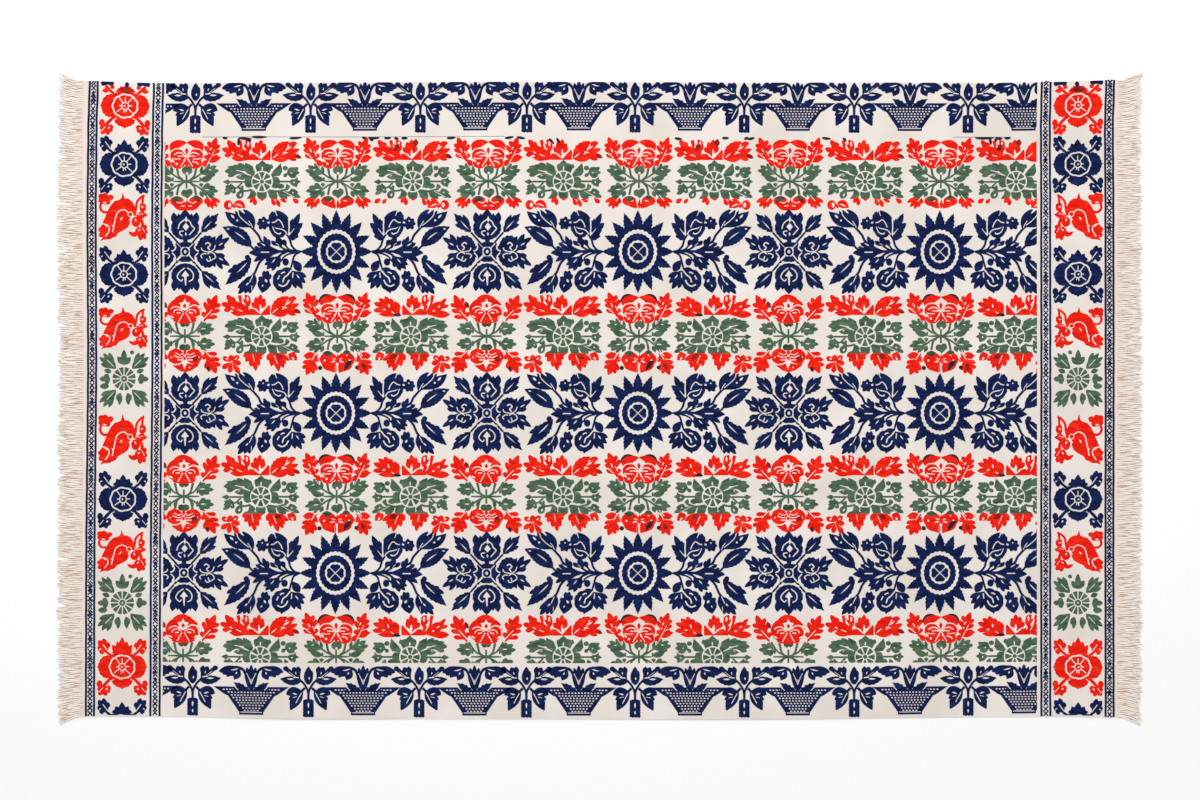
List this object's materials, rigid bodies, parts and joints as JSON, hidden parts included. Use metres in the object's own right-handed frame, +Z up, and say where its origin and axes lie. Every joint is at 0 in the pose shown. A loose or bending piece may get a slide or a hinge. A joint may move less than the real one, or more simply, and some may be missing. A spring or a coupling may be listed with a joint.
{
  "type": "blanket",
  "caption": "Flat woven coverlet with a floral pattern in bands and borders, and a cut yarn fringe along both short ends.",
  "frame": {"origin": "on the surface it lies on, under the middle of the laid cloth and its fringes", "axes": "+X along the length, from the left fringe to the right one; +Y across the width, towards the far long edge; +Z up, out of the patterned face"},
  "size_m": [2.1566, 1.2869, 0.0043],
  "materials": {
    "cotton_ground": "matt figured weave of unbleached cotton",
    "navy_wool": "matt wool pattern weft",
    "red_wool": "matt wool pattern weft",
    "green_wool": "matt wool pattern weft",
    "fringe_yarn": "loose twisted cotton yarn"
  },
  "bodies": {
    "root": {"cloth": "cotton_ground", "fringe_left": "fringe_yarn", "fringe_right": "fringe_yarn"}
  },
  "joints": []
}
